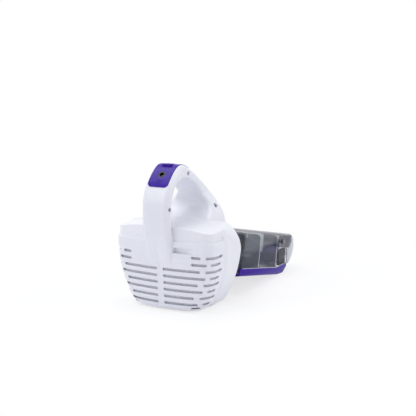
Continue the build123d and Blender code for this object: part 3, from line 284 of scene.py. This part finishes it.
def smooth_by_angle(limit):
    """A modifier group that shades faces smooth and leaves edges sharper than the limit sharp."""
    group = bpy.data.node_groups.new("smooth_by_angle", "GeometryNodeTree")
    for way in ("INPUT", "OUTPUT"):
        group.interface.new_socket("Geometry", in_out=way, socket_type="NodeSocketGeometry")
    entry = group.nodes.new("NodeGroupInput")
    leave = group.nodes.new("NodeGroupOutput")
    faces = group.nodes.new("GeometryNodeSetShadeSmooth")
    edges = group.nodes.new("GeometryNodeSetShadeSmooth")
    edges.domain = "EDGE"
    edges.inputs["Shade Smooth"].default_value = False
    angle = group.nodes.new("GeometryNodeInputMeshEdgeAngle")
    compare = group.nodes.new("FunctionNodeCompare")
    compare.data_type = "FLOAT"
    compare.operation = "GREATER_THAN"
    compare.inputs[1].default_value = limit
    group.links.new(entry.outputs[0], faces.inputs["Geometry"])
    group.links.new(faces.outputs[0], edges.inputs["Geometry"])
    group.links.new(angle.outputs["Unsigned Angle"], compare.inputs[0])
    group.links.new(compare.outputs[0], edges.inputs["Selection"])
    group.links.new(edges.outputs[0], leave.inputs[0])
    return group


smoothing = smooth_by_angle(SHARP_ABOVE)


def dress(obj, material, edge):
    """Gives a solid its material, a small round on its edges where one is asked for, and smooth faces."""
    obj.data.materials.clear()
    obj.data.materials.append(material)
    obj.modifiers.new("joined", "WELD").merge_threshold = JOIN_WITHIN
    if edge:
        rounding = obj.modifiers.new("edges", "BEVEL")
        rounding.width = edge
        rounding.segments = ROUND_SEGMENTS
        rounding.limit_method = "ANGLE"
        rounding.angle_limit = ROUND_ABOVE
    obj.modifiers.new("smooth", "NODES").node_group = smoothing


# Width of the round on the edges, in millimetres
EDGES = {
    "housing_right": 0.5, "housing_left": 0.5, "handle_trim": 0.5, "cup_base": 0.5, "dust_cup": 0.3,
    "visor_arm_right": 0.5, "visor_arm_left": 0.5, "visor_cheek_right": 0.5, "visor_cheek_left": 0.5,
    "latch_button": 0.3, "visor_pins": 0.3, "brush_end_cap": 0.4, "filter_ring": 0.4,
}
for name, material in NODE_MATERIALS.items():
    dress(nodes[name], material, EDGES.get(name, 0) * MM)

# The duct's faces that look to the rear are darker than the others
duct = nodes["inlet_duct"].data
duct.materials.append(duct_dark)
for face in duct.polygons:
    if face.normal.dot(nozzle_axis) < LOOKS_BACK:
        face.material_index = 1


# Pieces made here

def add_object(name, data):
    """A new object in the scene."""
    obj = bpy.data.objects.new(name, data)
    bpy.context.scene.collection.objects.link(obj)
    return obj


def mesh_piece(name, vertices, faces, material, body, smooth=True):
    """A piece from its vertices and faces, riding on a body."""
    mesh = bpy.data.meshes.new(name)
    mesh.from_pydata(vertices, [], faces)
    mesh.polygons.foreach_set("use_smooth", [smooth] * len(faces))
    mesh.update()
    obj = add_object(name, mesh)
    mesh.materials.append(material)
    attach(obj, body)
    return obj


def full_turn(count):
    """The angles of a ring of vertices."""
    return [2 * math.pi * i / count for i in range(count)]


def half_turn(steps):
    """The angles of an open arc of vertices, both ends included."""
    return [math.pi * i / steps for i in range(steps + 1)]


def band(low, high, count, closed=True):
    """Faces between two rings, or two open rows, of vertices that start at low and at high."""
    faces = []
    for i in range(count if closed else count - 1):
        ahead = (i + 1) % count
        faces.append((low + i, low + ahead, high + ahead, high + i))
    return faces


def lathe(name, profile, place, axis, material, body, segments=48):
    """A turned piece: (radius, height) pairs in millimetres, swept round an axis."""
    turn = axis.to_track_quat("Z", "Y").to_matrix()
    vertices, faces = [], []
    for radius, height in profile:
        for angle in full_turn(segments):
            across = Vector((radius * MM * math.cos(angle), radius * MM * math.sin(angle), height * MM))
            vertices.append(place + turn @ across)
    for ring in range(len(profile) - 1):
        faces += band(ring * segments, (ring + 1) * segments, segments)
    return mesh_piece(name, vertices, faces, material, body)


def bead(points, radius):
    """Vertices and faces of a round bead along points that lie in one upright plane."""
    sides = 10
    vertices, faces = [], []
    last = len(points) - 1
    for i, point in enumerate(points):
        ahead = (points[min(i + 1, last)] - points[max(i - 1, 0)]).normalized()
        square = Vector((-ahead.z, 0, ahead.x))
        for angle in full_turn(sides):
            vertices.append(point + (Vector((0, math.cos(angle), 0)) + square * math.sin(angle)) * radius)
    for i in range(last):
        faces += band(i * sides, (i + 1) * sides, sides)
    faces.append(tuple(range(sides - 1, -1, -1)))
    faces.append(tuple(last * sides + k for k in range(sides)))
    return vertices, faces


def seam_bead():
    """The pale bead along each side of the cup, where it meets its tray. Sizes in millimetres."""
    first, bend, drop = 44, 168, 20.3
    side_y, radius, short = 59.9, 0.75, 0.8
    steps = 8
    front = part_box("cup_base")[1].x
    start = nozzle_origin + nozzle_axis * first * MM - nozzle_up * drop * MM
    turn = nozzle_origin + nozzle_axis * bend * MM - nozzle_up * drop * MM
    end = Vector((front - short * MM, 0, turn.z))
    points = [start.lerp(turn, step / steps) for step in range(steps + 1)] + [end]
    vertices, faces = [], []
    for side in (-1, 1):
        made, quads = bead([point + Vector((0, side * side_y * MM, 0)) for point in points], radius * MM)
        faces += [tuple(len(vertices) + corner for corner in quad) for quad in quads]
        vertices += made
    strip = mesh_piece("seam_bead", vertices, faces, bead_clear, "cup")


def trim_ribs():
    """Three short grip ribs on the violet insert, below the socket. Sizes in millimetres."""
    ribs_made, first, pitch = 3, 9.0, 2.4
    stations, spacing = 9, 1.1
    end_width, swell, height, sunk = 0.15, 0.5, 0.45, 0.03
    arc, clearance = 6, 20
    middle = stations // 2
    mesh = nodes["handle_trim"].data
    skin = BVHTree.FromPolygons([v.co for v in mesh.vertices], [p.vertices for p in mesh.polygons])
    down = Vector((-socket_out.z, 0, socket_out.x))
    down = down if down.z < 0 else -down
    vertices, faces = [], []
    for rib in range(ribs_made):
        base = len(vertices)
        for k in range(stations):
            aside = Vector((0, (k - middle) * spacing * MM, 0))
            above = socket_place + down * (first + pitch * rib) * MM + aside + socket_out * clearance * MM
            place, normal = skin.ray_cast(above, -socket_out)[:2]
            fade = math.sqrt(max(0.0, 1 - (k / middle - 1) ** 2))
            along = normal.cross(Vector((0, 1, 0))).normalized()
            for angle in half_turn(arc):
                across = along * math.cos(angle) * (end_width + swell * fade) * MM
                vertices.append(place + across + normal * (math.sin(angle) * height * fade - sunk) * MM)
        for k in range(stations - 1):
            row = base + k * (arc + 1)
            faces += band(row, row + arc + 1, arc + 1, closed=False)
    ribs = mesh_piece("trim_ribs", vertices, faces, violet_dark, "main")


def brush_tufts():
    """Four helical rows of fine tapered bristles on a sleeve with a low ridge under each row."""
    low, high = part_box("brush_bristles")
    axis = Vector(((low.x + high.x) / 2, 0, (low.z + high.z) / 2))
    tip = (high.z - low.z) / 2
    half = high.y
    rows, tufts, strands, twist = 4, 130, 4, math.radians(150)
    root, thick, margin = 9.4 * MM, 0.42 * MM, 2.6 * MM
    # How far a strand strays: round the brush, along it in millimetres, in its lean and in its length
    spread, shift, most_lean, shortest = 0.045, 0.3, 0.05, 0.955
    corners = 3
    vertices, faces = [], []
    for row in range(rows):
        for i in range(tufts):
            share = i / (tufts - 1) - 0.5
            for _ in range(strands):
                turn = 2 * math.pi * row / rows + twist * share + chance.uniform(-spread, spread)
                y = share * 2 * (half - margin) + chance.uniform(-shift, shift) * MM
                lean = chance.uniform(-most_lean, most_lean)
                length = tip * chance.uniform(shortest, 1.0)
                start = len(vertices)
                # Radius, share of the full thickness and share of the lean, from root to tip
                levels = ((root, 1.0, 0), ((root + length) / 2, 0.85, 0.4), (length * 0.998, 0.4, 1))
                for radius, size, bend in levels:
                    at = turn + lean * bend
                    out = Vector((math.sin(at), 0, math.cos(at)))
                    side = Vector((math.cos(at), 0, -math.sin(at)))
                    middle = axis + out * radius + Vector((0, y, 0))
                    for spin in full_turn(corners):
                        across = side * math.cos(spin) + Vector((0, math.sin(spin), 0))
                        vertices.append(middle + across * thick * size / 2)
                for level in range(len(levels) - 1):
                    faces += band(start + corners * level, start + corners * (level + 1), corners)
                faces.append(tuple(range(len(vertices) - corners, len(vertices))))

    sleeve, ridge_height, ridge_power = 9.15 * MM, 0.65 * MM, 6
    around, along = 96, 60
    first = len(vertices)
    for j in range(along + 1):
        share = j / along - 0.5
        for angle in full_turn(around):
            phase = (angle - twist * share) * rows
            radius = sleeve + ridge_height * max(0.0, math.cos(phase)) ** ridge_power
            y = share * 2 * half
            vertices.append(axis + Vector((radius * math.sin(angle), y, radius * math.cos(angle))))
    for j in range(along):
        faces += band(first + j * around, first + (j + 1) * around, around)
    tuft = mesh_piece("brush_tufts", vertices, faces, nylon, "brush")
    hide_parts("brush_bristles")


def filter_folds():
    """Pleated cloth inside the cage, with rounded folds."""
    pleats, steps = 22, 8
    outer, inner, thick = 23.2 * MM, 17.4 * MM, 1.2 * MM
    gap, length = 0.1 * MM, 76.1 * MM
    stations = (gap, length / 3, 2 * length / 3, length)
    count = pleats * steps
    sideways = Vector((0, 1, 0))
    vertices, faces = [], []
    for station in stations:
        for skin in (0, thick):
            for angle in full_turn(count):
                wave = 0.5 + 0.5 * math.sin(pleats * angle)
                # Eased, so that the folds are rounded
                wave = wave * wave * (3 - 2 * wave)
                radius = inner + (outer - inner) * wave - skin
                across = sideways * math.cos(angle) + nozzle_up * math.sin(angle)
                vertices.append(nozzle_origin + nozzle_axis * station + across * radius)
    last = len(stations) - 1
    for station in range(last):
        low = 2 * station * count
        faces += band(low, low + 2 * count, count)
        faces += [quad[::-1] for quad in band(low + count, low + 3 * count, count)]
    for station in (0, last):
        low = 2 * station * count
        for i in range(count):
            ahead = (i + 1) % count
            quad = (low + i, low + count + i, low + count + ahead, low + ahead)
            faces.append(quad if station == 0 else quad[::-1])
    folds = mesh_piece("filter_folds", vertices, faces, cloth, "main")
    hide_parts("filter_pleats")


def foam_pad():
    """Open foam behind the vents, with a pitted skin."""
    voxel, pit_size, pit_depth = 1.5 * MM, 2.5 * MM, 0.5 * MM
    pad = add_object("foam_pad", nodes["exhaust_foam"].data.copy())
    pad.data.materials.clear()
    pad.data.materials.append(foam)
    blocks = pad.modifiers.new("blocks", "REMESH")
    blocks.mode = "VOXEL"
    blocks.voxel_size = voxel
    blocks.use_smooth_shade = True
    pits = bpy.data.textures.new("foam_pits", "CLOUDS")
    pits.noise_scale = pit_size
    pitted = pad.modifiers.new("pits", "DISPLACE")
    pitted.texture = pits
    pitted.texture_coords = "LOCAL"
    pitted.mid_level = 1.0
    pitted.strength = pit_depth
    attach(pad, "main")
    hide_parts("exhaust_foam")


def screw_groups(apart=8):
    """The plain screws' vertices in millimetres, one list a screw; screws stand further apart than this."""
    groups = []
    for vertex in nodes["housing_screws"].data.vertices:
        x, y, z = vertex.co / MM
        group = next((g for g in groups if math.hypot(g[0][0] - x, g[0][2] - z) < apart), None)
        if group is None:
            groups.append([(x, y, z)])
        else:
            group.append((x, y, z))
    return groups


def screw_heads():
    """Domed heads with a cross recess, in place of the plain screws. Sizes in millimetres."""
    head, height, shank, length = 2.9, 2.4, 1.5, 20.0
    dome, rim, underside = 0.35, 0.9, 0.01
    arm_half, arm_reach, recess = 0.42, 1.75, 0.9
    rings, segments = 16, 48
    profile = [(head, rim), (head, height), (shank, height + underside), (shank, height + length)]
    vertices, faces = [], []
    for group in screw_groups():
        across, deep, high = zip(*group)
        x, z = (min(across) + max(across)) / 2, (min(high) + max(high)) / 2
        face_y = min(deep)
        start = len(vertices)
        for ring in range(rings + 1):
            radius = head * ring / rings
            for angle in full_turn(segments):
                a, b = radius * math.cos(angle), radius * math.sin(angle)
                in_cross = min(abs(a), abs(b)) < arm_half and max(abs(a), abs(b)) < arm_reach
                y = face_y + dome * (radius / head) ** 2 + (recess if in_cross else 0)
                vertices.append(Vector((x + a, y, z + b)) * MM)
        for radius, depth in profile:
            for angle in full_turn(segments):
                place = Vector((x + radius * math.cos(angle), face_y + depth, z + radius * math.sin(angle)))
                vertices.append(place * MM)
        for ring in range(rings + len(profile)):
            faces += band(start + ring * segments, start + (ring + 1) * segments, segments)
    heads = mesh_piece("screw_heads", vertices, faces, steel, "main", smooth=False)
    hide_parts("housing_screws")


def slider_ridges():
    """Grip ridges across the slider. Sizes in millimetres."""
    lift, half, pitch, each_side = 1.55, 5.2, 2.1, 2
    ridge_half, ridge_top = 0.7, 0.35
    arc = 8
    low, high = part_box("power_slider")
    slide = Vector(joints["power_slide"]["axis"])
    rise = Vector((-slide.z, 0, slide.x))
    middle = Vector(((low.x + high.x) / 2, 0, (low.z + high.z) / 2)) + rise * lift * MM
    vertices, faces = [], []
    for ridge in range(-each_side, each_side + 1):
        start = len(vertices)
        for end in (-half * MM, half * MM):
            for angle in half_turn(arc):
                bulge = slide * math.cos(angle) * ridge_half * MM + rise * math.sin(angle) * ridge_top * MM
                vertices.append(middle + slide * ridge * pitch * MM + bulge + Vector((0, end, 0)))
        faces += band(start, start + arc + 1, arc + 1, closed=False)
        faces.append(tuple(start + i for i in range(arc, -1, -1)))
        faces.append(tuple(start + arc + 1 + i for i in range(arc + 1)))
    ridges = mesh_piece("slider_ridges", vertices, faces, violet, "slider")


def socket_contact():
    """The contact pin in the charging socket and the dark ring round its mouth."""
    pin = [(0.0, 2.2), (0.5, 2.0), (0.8, 1.5), (0.8, -4.0)]
    contact = lathe("socket_pin", pin, socket_place, socket_out, steel, "main", segments=24)
    ring = [(3.05, 3.9), (3.3, 4.25), (4.0, 4.3), (4.5, 4.05)]
    mouth = lathe("socket_ring", ring, socket_place, socket_out, black, "main")


seam_bead()
trim_ribs()
brush_tufts()
filter_folds()
foam_pad()
screw_heads()
slider_ridges()
socket_contact()


# Stage: floor, lights and camera

def combine(tree, operation, first, second):
    """Two outputs put through one operation and kept between 0 and 1."""
    made = tree.nodes.new("ShaderNodeMath")
    made.operation = operation
    made.use_clamp = True
    tree.links.new(first, made.inputs[0])
    tree.links.new(second, made.inputs[1])
    return made.outputs[0]


def lit_backdrop(tree, surface, shadow_share=None):
    """White where it is seen, straight, in gloss or through glass; a floor keeps some of its real light."""
    path = tree.nodes.new("ShaderNodeLightPath")
    seen = path.outputs["Is Camera Ray"]
    for ray in ("Is Glossy Ray", "Is Transmission Ray"):
        seen = combine(tree, "MAXIMUM", seen, path.outputs[ray])
    if shadow_share:
        seen = combine(tree, "SUBTRACT", seen, shadow_share)
    plain = tree.nodes.new("ShaderNodeEmission")
    plain.inputs["Color"].default_value = (1, 1, 1, 1)
    mix = tree.nodes.new("ShaderNodeMixShader")
    tree.links.new(seen, mix.inputs["Fac"])
    tree.links.new(surface, mix.inputs[1])
    tree.links.new(plain.outputs[0], mix.inputs[2])
    return mix.outputs[0]


def lay_floor():
    """A white floor that keeps the object's shadow."""
    reach = FLOOR_REACH
    corners = [(-reach, -reach, 0), (reach, -reach, 0), (reach, reach, 0), (-reach, reach, 0)]
    mesh = bpy.data.meshes.new("floor")
    mesh.from_pydata(corners, [], [(0, 1, 2, 3)])
    floor = add_object("floor", mesh)
    made = Shader("floor", base_color=linear(252, 252, 254), roughness=0.8, specular_ior_level=0.0)
    mesh.materials.append(made.material)
    away = made.node("VectorMath", vector=made.place)
    away.operation = "LENGTH"
    near = made.node(
        "MapRange", value=away.outputs["Value"],
        from_min=SHADOW_FADES, from_max=SHADOW_ENDS, to_min=FLOOR_SHADOW, to_max=0.0,
    )
    white_floor = lit_backdrop(made.tree, made.shader.outputs[0], near.outputs["Result"])
    made.tree.links.new(white_floor, made.tree.nodes["Material Output"].inputs["Surface"])


def set_lights():
    """An even sky that is seen as white, and three soft lamps."""
    world = bpy.data.worlds.new("studio")
    bpy.context.scene.world = world
    world.use_nodes = True
    tree = world.node_tree
    sky = tree.nodes["Background"]
    sky.inputs["Color"].default_value = linear(238, 240, 248)
    sky.inputs["Strength"].default_value = SKY_STRENGTH
    tree.links.new(lit_backdrop(tree, sky.outputs[0]), tree.nodes["World Output"].inputs["Surface"])
    for name, place, size, power in LAMPS:
        lamp = bpy.data.lights.new(name, "AREA")
        lamp.size = size
        lamp.energy = power
        light = add_object(name, lamp)
        light.location = place
        light.rotation_euler = (LAMP_TARGET - Vector(place)).to_track_quat("-Z", "Y").to_euler()


def set_camera():
    """The photograph's view."""
    lens = bpy.data.cameras.new("camera")
    lens.lens = CAMERA_LENS
    lens.sensor_width = CAMERA_SENSOR
    lens.clip_start = CAMERA_NEAR
    camera = add_object("camera", lens)
    camera.location = CAMERA_PLACE
    camera.rotation_euler = CAMERA_LOOK.to_track_quat("-Z", "Y").to_euler()
    bpy.context.scene.camera = camera
    bpy.context.scene.view_settings.view_transform = "Standard"


lay_floor()
set_lights()
set_camera()
bpy.context.view_layer.update()
